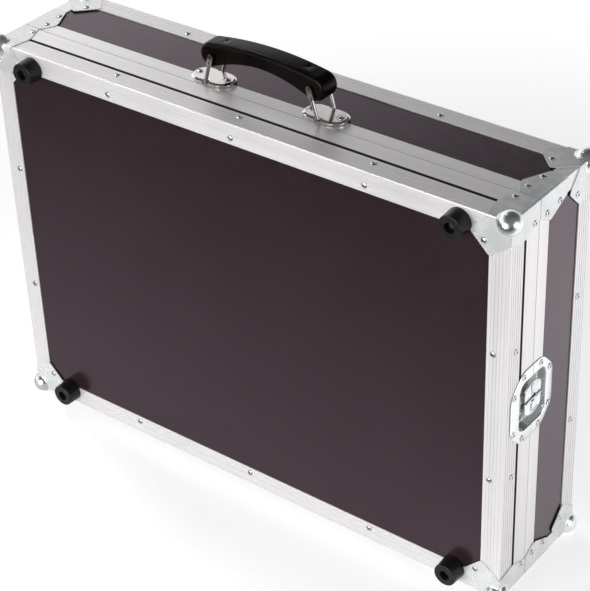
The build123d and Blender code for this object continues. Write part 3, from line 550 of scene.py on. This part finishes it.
def rivet_places(node):
    """Seat and outward direction of each rivet head in a CAD node."""
    places = []
    for points in islands(node):
        low = Vector([min(p[i] for p in points) for i in range(3)])
        high = Vector([max(p[i] for p in points) for i in range(3)])
        size = high - low
        axis = min(range(3), key=lambda i: size[i])
        middle = (low + high) / 2
        at_low = [p for p in points if abs(p[axis] - low[axis]) < SAME_PLANE]
        at_high = [p for p in points if abs(p[axis] - high[axis]) < SAME_PLANE]
        other = (axis + 1) % 3
        spread_low = max(abs(p[other] - middle[other]) for p in at_low)
        spread_high = max(abs(p[other] - middle[other]) for p in at_high)
        outward = Vector((0, 0, 0))
        outward[axis] = 1 if spread_low > spread_high else -1
        seat = middle.copy()
        seat[axis] = low[axis] if outward[axis] > 0 else high[axis]
        places.append((seat, outward))
    return places


def make_rivets(node, name):
    """Domed blind rivets with the hollow of the drawn mandrel, seated where the solid heads sit."""
    work = bmesh.new()
    for seat, outward in rivet_places(node):
        place = Matrix.Translation(seat) @ outward.to_track_quat("Z", "Y").to_matrix().to_4x4()
        revolve(work, RIVET, place, RIVET_STEPS, RIVET_BORE)
    piece = new_piece(name, finish_mesh(work, name), body_of(node), FASTENER)
    # The bore walls and mandrel take the steel darkened as painted shade
    piece.data.materials.append(MANDREL_WITH_PAINTED_SHADE)
    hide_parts(node)


make_rivets("base_rivets", "base_rivet_heads")
make_rivets("lid_rivets", "lid_rivet_heads")


DOME_LIFT = 0.00001
DOME_SUBDIVISIONS = 5


def ball_domes(name, depth, body):
    """Seamless zinc-plated domes over the four corner balls at one depth."""
    work = bmesh.new()
    for x in (-BALL_X, BALL_X):
        for z in BALL_Z:
            place = Matrix.Translation((x, depth, z))
            bmesh.ops.create_icosphere(
                work, subdivisions=DOME_SUBDIVISIONS, radius=BALL_RADIUS + DOME_LIFT, matrix=place,
            )
    new_piece(name, finish_mesh(work, name), body, ZINC)


ball_domes("base_ball_domes", BALL_Y[0], body_of("base_corner_top_right"))
ball_domes("lid_ball_domes", BALL_Y[1], body_of("lid_corner_top_right"))


# Latch dishes and wings, in millimetres: u into the depth, v up, w above the pan's floor
STEEL = 1.2
DISH_REACH = (-52.0, 48.0)
DISH_HALF_HEIGHT = 56.0
DISH_CORNER = (25.0, 27.0)
DISH_ROUND = 26.0
PAN_DEPTH = 12.0
PAN_MIDDLE = 1.0
PAN_HALF = (31.0, 38.0)
PAN_ROUND = 14.0
PAN_DRAFT = 3.0
PAN_BROW = 2.0
PAN_FOOT = 3.5
PAN_FLOOR_START = 6.0
KEEPER_LIP = ((-15.0, -12.0, -0.2), (-13.0, 12.0, 2.3))
KEEPER_LIP_EDGE = 0.5
ARC_STEPS = 8
PRESS_STEPS = 6
LOOP_POINTS = 160

# Rolled outer edge, as (inset, depth below the rim)
EDGE_ROLL = ((0.0, 0.7), (0.15, 0.3), (0.6, 0.0))

# Depth below the rim from which the pan's faces take its inner materials, and how far into the depth they
# take the zinc darkened as painted shade
PAN_INSIDE = 1.6
SHADE_END = -6.0

dish_low, dish_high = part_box("latch_dishes")
LATCH_X = dish_high.x / MM
LATCH_Z = (dish_low.z + dish_high.z) / 2 / MM
PARTING_Y = dish_high.y / MM - DISH_REACH[1]


def latch_point(side, u, v, w):
    """Point of a latch in metres, on the right side or mirrored to the left."""
    return Vector((side * (LATCH_X - PAN_DEPTH + w), PARTING_Y + u, LATCH_Z + v)) * MM


def rounded_loop(corners, radius):
    """Closed line through the corners of a polygon, each rounded by an arc."""
    line = []
    for before, corner, after in zip(corners[-1:] + corners[:-1], corners, corners[1:] + corners[:1]):
        corner = Vector(corner)
        back = (Vector(before) - corner).normalized()
        on = (Vector(after) - corner).normalized()
        half = back.angle(on) / 2
        start = corner + back * radius / math.tan(half)
        middle = corner + (back + on).normalized() * radius / math.sin(half)
        sweep = math.pi - 2 * half
        turn = 1 if back.x * on.y - back.y * on.x < 0 else -1
        arm = start - middle
        for step in range(ARC_STEPS + 1):
            angle = turn * sweep * step / ARC_STEPS
            line.append(middle + Vector((
                arm.x * math.cos(angle) - arm.y * math.sin(angle),
                arm.x * math.sin(angle) + arm.y * math.cos(angle),
            )))
    return line


def reach_along(line, angle):
    """Distance from the pan's middle to a closed line, in one direction."""
    ray = Vector((math.cos(angle), math.sin(angle)))
    middle = Vector((PAN_MIDDLE, 0))
    for first, second in zip(line, line[1:] + line[:1]):
        a, b = first - middle, second - middle
        side_a, side_b = ray.x * a.y - ray.y * a.x, ray.x * b.y - ray.y * b.x
        if side_a == side_b or side_a * side_b > 0:
            continue
        share = side_a / (side_a - side_b)
        distance = (a + (b - a) * share).dot(ray)
        if distance > 0:
            return distance
    raise ValueError("the line doesn't go round the pan")


def dish_steps():
    """Section of the pressing, as (line it follows, inset from that line, height) from edge to floor."""
    steps = [("edge", inset, PAN_DEPTH - below) for inset, below in EDGE_ROLL]
    turns = [math.pi / 2 * step / PRESS_STEPS for step in range(PRESS_STEPS + 1)]
    for turn in turns:
        outset = PAN_BROW * (1 - math.sin(turn))
        steps.append(("pan", -outset, PAN_DEPTH - PAN_BROW * (1 - math.cos(turn))))
    wall_end = PAN_DRAFT / PAN_DEPTH * (PAN_DEPTH - PAN_FOOT)
    for turn in turns:
        steps.append(("pan", wall_end + PAN_FOOT * (1 - math.cos(turn)), PAN_FOOT * (1 - math.sin(turn))))
    steps.append(("pan", PAN_DRAFT + PAN_FLOOR_START, 0.0))
    return steps


def dish_loops():
    """Loops of the pressed dish from its outer edge to the pan's floor, as rows of (u, v, w)."""
    run, rise = DISH_CORNER
    base, lid = DISH_REACH
    high = DISH_HALF_HEIGHT
    outline = rounded_loop([
        (base, high - rise), (base + run, high), (lid - run, high), (lid, high - rise),
        (lid, rise - high), (lid - run, -high), (base + run, -high), (base, rise - high),
    ], DISH_ROUND)
    half_u, half_v = PAN_HALF
    pan = rounded_loop([
        (PAN_MIDDLE - half_u, half_v), (PAN_MIDDLE + half_u, half_v),
        (PAN_MIDDLE + half_u, -half_v), (PAN_MIDDLE - half_u, -half_v),
    ], PAN_ROUND)
    angles = [2 * math.pi * step / LOOP_POINTS for step in range(LOOP_POINTS)]
    reach = {
        "edge": [reach_along(outline, angle) for angle in angles],
        "pan": [reach_along(pan, angle) for angle in angles],
    }
    loops = []
    for line, inset, height in dish_steps():
        loop = []
        for angle, far in zip(angles, reach[line]):
            out = far - inset
            loop.append((PAN_MIDDLE + out * math.cos(angle), out * math.sin(angle), height))
        loops.append(loop)
    return loops


def bridge(work, loops):
    """Faces between each closed loop of vertices and the next."""
    for low, high in zip(loops, loops[1:]):
        for step in range(len(low)):
            after = (step + 1) % len(low)
            work.faces.new((low[step], low[after], high[after], high[step]))


def block(work, side, low, high, edge):
    """A bar with rounded edges between two latch points."""
    made = bmesh.ops.create_cube(work, size=1.0)["verts"]
    for vertex in made:
        share = [c + 0.5 for c in vertex.co]
        vertex.co = latch_point(side, *[a + (b - a) * t for a, b, t in zip(low, high, share)])
    edges = list({e for v in made for e in v.link_edges})
    bmesh.ops.bevel(work, geom=edges, offset=edge * MM, segments=3, affect="EDGES", profile=0.5)


def make_dishes(node, name, keep):
    """Pressed dish halves on one side of the seam; keep is -1 for the base's half and 1 for the lid's.

    The pan's inside takes the second material, zinc darkened as painted shade, up to SHADE_END and the
    third past it.
    """
    work = bmesh.new()
    for side in (-1, 1):
        loops = [[work.verts.new(latch_point(side, *point)) for point in loop] for loop in dish_loops()]
        bridge(work, loops)
        work.faces.new(loops[-1])
    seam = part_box(node)[1 if keep < 0 else 0].y
    bmesh.ops.bisect_plane(
        work, geom=work.verts[:] + work.edges[:] + work.faces[:],
        plane_co=(0, seam, 0), plane_no=(0, -keep, 0), clear_outer=True,
    )
    bmesh.ops.recalc_face_normals(work, faces=work.faces)
    for face in work.faces:
        if abs(face.normal.x) > 0.5 and face.normal.x * face.calc_center_median().x < 0:
            face.normal_flip()
    bmesh.ops.solidify(work, geom=work.faces[:], thickness=STEEL * MM)
    # Painted shade: the pan's inside up to SHADE_END takes the darkened zinc
    inside_x = (LATCH_X - PAN_INSIDE) * MM
    shade_y = (PARTING_Y + SHADE_END) * MM
    for face in work.faces:
        middle = face.calc_center_median()
        if abs(middle.x) < inside_x:
            face.material_index = 1 if middle.y < shade_y else 2
    if keep < 0:
        for side in (-1, 1):
            block(work, side, *KEEPER_LIP, KEEPER_LIP_EDGE)
    piece = new_piece(name, finish_mesh(work, name), body_of(node), POLISHED)
    piece.data.materials.append(SHADED)
    piece.data.materials.append(ZINC)
    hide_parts(node)


make_dishes("keeper_dishes", "keeper_dish_pressings", -1)
make_dishes("latch_dishes", "latch_dish_pressings", 1)


# Butterfly wings, about the rotor's axis: a round edge cut flat at both sides, with a notch for the rotor
ROTOR_U = 5.0
WING_ROUND = 25.0
WING_FLAT = 19.0
WING_START = 2.4
WING_NOTCH = 6.5
WING_TOP = 9.9

# Section from the wing's underside over its rolled rim into the hollow, as (inset, depth below the top)
WING_SECTION = (
    (0.0, 1.8), (0.0, 0.5), (0.15, 0.15), (0.5, 0.0), (1.7, 0.0), (2.3, 0.25), (2.8, 0.8),
    (3.4, 1.1), (4.2, 1.15),
)
WING_UNDER = WING_TOP - WING_SECTION[0][1]

ROUND_STEPS = 24
NOTCH_STEPS = 12
RIB_HALF = 2.2
RIB_REACH = (9.5, 21.0)
RIB_BELOW_TOP = (1.6, 0.1)
RIB_EDGE = 0.6
PIN_HEIGHT = 10.1
KNUCKLE_STARTS = {"upper": 10.7, "lower": 7.7}
KNUCKLE_LENGTH = 2.8
KNUCKLE_BORE = 1.06
KNUCKLE_RADIUS = 1.8
KNUCKLE_EDGE = 0.2
KNUCKLE_STEPS = 28
WEB_REACH = 4.0
WEB_EDGE = 0.15
SAME_VERTEX = 0.001


def wing_loop(inset, w, up):
    """Outline of a butterfly wing drawn in by inset, as rows of (u, v, w)."""
    round_edge, flat_edge = WING_ROUND - inset, WING_FLAT - inset
    start, notch = WING_START + inset, WING_NOTCH + inset
    turn_up = math.asin(flat_edge / round_edge)
    turn_notch = math.acos(start / notch)
    points = []
    for step in range(ROUND_STEPS + 1):
        turn = turn_up - 2 * turn_up * step / ROUND_STEPS
        points.append((round_edge * math.sin(turn), round_edge * math.cos(turn)))
    half_way = (points[0][1] + start) / 2
    beside_notch = (flat_edge + notch * math.sin(turn_notch)) / 2
    points += [(-flat_edge, half_way), (-flat_edge, start), (-beside_notch, start)]
    for step in range(NOTCH_STEPS + 1):
        turn = -turn_notch + 2 * turn_notch * step / NOTCH_STEPS
        points.append((notch * math.sin(turn), notch * math.cos(turn)))
    points += [(beside_notch, start), (flat_edge, start), (flat_edge, half_way)]
    return [(ROTOR_U + u, up * v, w) for u, v in points]


def add_rib(work, side, up):
    """Rib across the finger hollow."""
    ends = sorted(up * reach for reach in RIB_REACH)
    low, high = [WING_TOP - below for below in RIB_BELOW_TOP]
    block(work, side, (ROTOR_U - RIB_HALF, ends[0], low), (ROTOR_U + RIB_HALF, ends[1], high), RIB_EDGE)


def add_knuckles(work, side, up, first):
    """Two knuckles on the wing pin, each with its web, that start at first from the rotor's axis."""
    edge, length = KNUCKLE_EDGE, KNUCKLE_LENGTH
    section = [
        (KNUCKLE_BORE, 0.0), (KNUCKLE_RADIUS - edge, 0.0), (KNUCKLE_RADIUS, edge),
        (KNUCKLE_RADIUS, length - edge), (KNUCKLE_RADIUS - edge, length), (KNUCKLE_BORE, length),
        (KNUCKLE_BORE, 0.0),
    ]
    profile = [(radius * MM, height * MM) for radius, height in section]
    web = sorted((0.0, up * WEB_REACH))
    for start in (ROTOR_U + first, ROTOR_U - first - length):
        block(work, side, (start, web[0], WING_UNDER), (start + length, web[1], WING_TOP), WEB_EDGE)
        place = Matrix.Translation(latch_point(side, start, 0, PIN_HEIGHT))
        revolve(work, profile, place @ Matrix.Rotation(-math.pi / 2, 4, "X"), KNUCKLE_STEPS)


def make_wing(wing, side_name, side, up):
    """One butterfly wing: a rolled rim round a finger hollow with a rib, and two knuckles on the pin."""
    node = f"latch_{wing}_wing_{side_name}"
    name = f"{wing}_wing_plate_{side_name}"
    work = bmesh.new()
    loops = []
    for inset, below in WING_SECTION:
        outline = wing_loop(inset, WING_TOP - below, up)
        loops.append([work.verts.new(latch_point(side, *point)) for point in outline])
    bridge(work, loops)
    work.faces.new(loops[0])
    work.faces.new(loops[-1])
    add_rib(work, side, up)
    add_knuckles(work, side, up, KNUCKLE_STARTS[wing])
    bmesh.ops.remove_doubles(work, verts=work.verts, dist=SAME_VERTEX * MM)
    piece = new_piece(name, finish_mesh(work, name), body_of(node), POLISHED)
    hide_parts(node)


for side_name, side in (("right", 1), ("left", -1)):
    for wing, up in (("upper", 1), ("lower", -1)):
        make_wing(wing, side_name, side, up)


# Foam trays: glued side sheets and a floor of rounded knops, in metres
FOAM_WALL = 0.008
FOAM_FLOOR = 0.010
KNOP_PITCH = 0.030
KNOP_CELLS = 8
KNOP_LOW = 0.35
KNOP_SHARPNESS = 0.7
CROWN_LOW = 0.86
CROWN_REACH = 0.02
CROWN_DEPTH_SHARE = 0.4
DISH_MARGIN = 0.014
LONG_CELLS = 120
SHORT_CELLS = 60
DEEP_CELLS = 14


def foam_sheet(work, origin, across, up, thick, columns, rows, relief):
    """A padded sheet with its outer side flat and its inner side raised by relief(u, v)."""
    grid = {}
    for i in range(columns + 1):
        for j in range(rows + 1):
            u, v = i / columns, j / rows
            base = origin + across * u + up * v
            grid[i, j, 0] = work.verts.new(base)
            grid[i, j, 1] = work.verts.new(base + thick * relief(u, v))

    def face(*corners):
        work.faces.new([grid[corner] for corner in corners])

    for i in range(columns):
        for j in range(rows):
            face((i, j, 0), (i, j + 1, 0), (i + 1, j + 1, 0), (i + 1, j, 0))
            face((i, j, 1), (i + 1, j, 1), (i + 1, j + 1, 1), (i, j + 1, 1))
    for i in range(columns):
        face((i, 0, 0), (i + 1, 0, 0), (i + 1, 0, 1), (i, 0, 1))
        face((i, rows, 0), (i, rows, 1), (i + 1, rows, 1), (i + 1, rows, 0))
    for j in range(rows):
        face((0, j, 0), (0, j, 1), (0, j + 1, 1), (0, j + 1, 0))
        face((columns, j, 0), (columns, j + 1, 0), (columns, j + 1, 1), (columns, j, 1))


def crowned(u, v):
    """Relief of a side sheet, rounded off along its edges."""
    edge = min(u, 1 - u, v * CROWN_DEPTH_SHARE, (1 - v) * CROWN_DEPTH_SHARE)
    return CROWN_LOW + (1 - CROWN_LOW) * min(1, edge / CROWN_REACH)


def make_foam_tray(node, name, inward):
    """Foam tray of one shell, open at both latches; inward is the way from its floor to its mouth."""
    low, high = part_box(node)
    floor_y, mouth_y = (low.y, high.y) if inward > 0 else (high.y, low.y)
    width = high.x - low.x - 2 * FOAM_WALL
    height = high.z - low.z - 2 * FOAM_WALL
    knops_x, knops_z = round(width / KNOP_PITCH), round(height / KNOP_PITCH)

    def knopped(u, v):
        wave = math.sin(math.pi * knops_x * u) ** 2 * math.sin(math.pi * knops_z * v) ** 2
        return KNOP_LOW + (1 - KNOP_LOW) * wave ** KNOP_SHARPNESS

    work = bmesh.new()
    foam_sheet(
        work, Vector((low.x + FOAM_WALL, floor_y, low.z + FOAM_WALL)), Vector((width, 0, 0)),
        Vector((0, 0, height)), Vector((0, inward * FOAM_FLOOR, 0)),
        knops_x * KNOP_CELLS, knops_z * KNOP_CELLS, knopped,
    )
    across = Vector((high.x - low.x, 0, 0))
    depth = Vector((0, mouth_y - floor_y, 0))
    for z, thick in ((high.z, -FOAM_WALL), (low.z, FOAM_WALL)):
        foam_sheet(
            work, Vector((low.x, floor_y, z)), across, depth, Vector((0, 0, thick)),
            LONG_CELLS, DEEP_CELLS, crowned,
        )
    dishes = (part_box("latch_dishes"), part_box("keeper_dishes"))
    pocket_low = min(box[0].z for box in dishes) + DISH_MARGIN
    pocket_high = max(box[1].z for box in dishes) - DISH_MARGIN
    for side, x in ((-1, low.x), (1, high.x)):
        for start, end in ((low.z + FOAM_WALL, pocket_low), (pocket_high, high.z - FOAM_WALL)):
            foam_sheet(
                work, Vector((x, floor_y, start)), Vector((0, 0, end - start)), depth,
                Vector((-side * FOAM_WALL, 0, 0)), SHORT_CELLS, DEEP_CELLS, crowned,
            )
    piece = new_piece(name, finish_mesh(work, name), body_of(node), FOAM)
    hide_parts(node)


make_foam_tray("base_lining", "base_foam", 1)
make_foam_tray("lid_lining", "lid_foam", -1)


# Floor: pale and matt, white to the camera further out, and with its own brightness in mirrors
FLOOR_REACH = 14
FLOOR_Z = -0.0002
FLOOR_CORNERS = ((-1, -1), (1, -1), (1, 1), (-1, 1))
FLOOR_COLOUR = (0.86, 0.86, 0.865, 1)
WHITE = (1, 1, 1, 1)


def make_floor_look():
    """Matt floor that turns white to the camera further out and is brightest in mirrors at the right."""
    made = bpy.data.materials.new("pale_floor")
    made.use_nodes = True
    graph = Graph(made.node_tree)
    path = graph.node("ShaderNodeLightPath")
    place = graph.split(graph.coordinates())
    matt = graph.node("ShaderNodeBsdfDiffuse", {"Color": FLOOR_COLOUR})
    away = graph.node("ShaderNodeVectorMath", {0: graph.coordinates()}, operation="LENGTH")
    rise = graph.span(away.outputs["Value"], 0.8, 2.4, 0.54, 1.0)
    white = graph.node("ShaderNodeEmission", {
        "Color": WHITE,
        "Strength": graph.maths("MULTIPLY", path.outputs["Is Camera Ray"], rise),
    })
    both = graph.node("ShaderNodeAddShader")
    graph.feed(both, 0, matt.outputs["BSDF"])
    graph.feed(both, 1, white.outputs["Emission"])
    front = graph.span(place["Y"], -0.85, -0.2, 0.06, 0.62)
    rightward = graph.span(place["X"], 0.2, 0.7, 0.0, 0.72)
    behind_the_front = graph.span(place["Y"], -0.3, -0.05, 0.0, 1.0)
    beside = graph.maths("MULTIPLY", rightward, behind_the_front)
    mirrored = graph.node("ShaderNodeEmission", {
        "Color": WHITE,
        "Strength": graph.maths("ADD", front, beside),
    })
    shown = graph.node("ShaderNodeMixShader", {0: path.outputs["Is Glossy Ray"]})
    graph.feed(shown, 1, both.outputs["Shader"])
    graph.feed(shown, 2, mirrored.outputs["Emission"])
    graph.node("ShaderNodeOutputMaterial", {"Surface": shown.outputs["Shader"]})
    return made


floor_mesh = bpy.data.meshes.new("floor")
floor_mesh.from_pydata(
    [(x * FLOOR_REACH, y * FLOOR_REACH, FLOOR_Z) for x, y in FLOOR_CORNERS], [], [(0, 1, 2, 3)],
)
floor_mesh.materials.append(make_floor_look())
floor = bpy.data.objects.new("floor", floor_mesh)
scene.collection.objects.link(floor)


# Studio: world light and three soft lamps
COVE = [
    (0.0, 1.0), (0.16, 1.0), (0.2, 0.75), (0.25, 0.2), (0.33, 0.10), (0.6, 0.10), (1.0, 0.05),
]
BEHIND_CAMERA = (0.55, -0.72, 0.42)
BEHIND_LEVEL = 0.16


def make_world():
    """World that is white to the camera.

    To all else it is a bright low cove, higher and brighter at the left and dim behind the camera.
    """
    world = bpy.data.worlds.new("studio")
    scene.world = world
    world.use_nodes = True
    graph = Graph(world.node_tree)
    path = graph.node("ShaderNodeLightPath")
    seen = graph.maths("MAXIMUM", path.outputs["Is Camera Ray"], path.outputs["Is Transmission Ray"])
    direction = graph.node("ShaderNodeTexCoord").outputs["Generated"]
    place = graph.split(direction)
    leftward = graph.maths("MULTIPLY", graph.maths("MINIMUM", place["X"], 0.0), 0.5)
    height = graph.maths("ADD", place["Z"], leftward)
    cove = graph.ramp(height, [(position, grey(level)) for position, level in COVE])
    window = graph.span(place["X"], -0.68, -0.42, 1.3, 1.0)
    cove = graph.mix(1.0, cove, window, "MULTIPLY")
    facing = graph.node("ShaderNodeVectorMath", {0: direction, 1: BEHIND_CAMERA}, operation="DOT_PRODUCT")
    behind = graph.span(facing.outputs["Value"], 0.25, 0.8, 0.0, 1.0)
    studio = graph.mix(behind, cove, grey(BEHIND_LEVEL))
    colour = graph.mix(seen, studio, WHITE)
    background = graph.node("ShaderNodeBackground", {"Color": colour, "Strength": 1.0})
    graph.node("ShaderNodeOutputWorld", {"Surface": background.outputs["Background"]})


make_world()


def lamp(name, place, target, size, watts):
    """A soft rectangular lamp aimed at target."""
    light = bpy.data.lights.new(name, "AREA")
    light.shape = "RECTANGLE"
    light.size, light.size_y = size
    light.energy = watts
    holder = bpy.data.objects.new(name, light)
    scene.collection.objects.link(holder)
    holder.location = place
    holder.rotation_euler = (Vector(target) - Vector(place)).to_track_quat("-Z", "Y").to_euler()
    return light


CENTRE = (0, 0, 0.3)
lamp("key", (3.2, -0.4, 0.9), CENTRE, (1.5, 1.5), 27)
lamp("front", (-0.3, -3.3, 0.55), CENTRE, (2.0, 1.3), 97)
left_top = lamp("left_top", (-1.7, 0.5, 2.6), (-0.56, 0.03, 0.6), (0.7, 0.7), 1.15)
left_top.spread = math.radians(30)
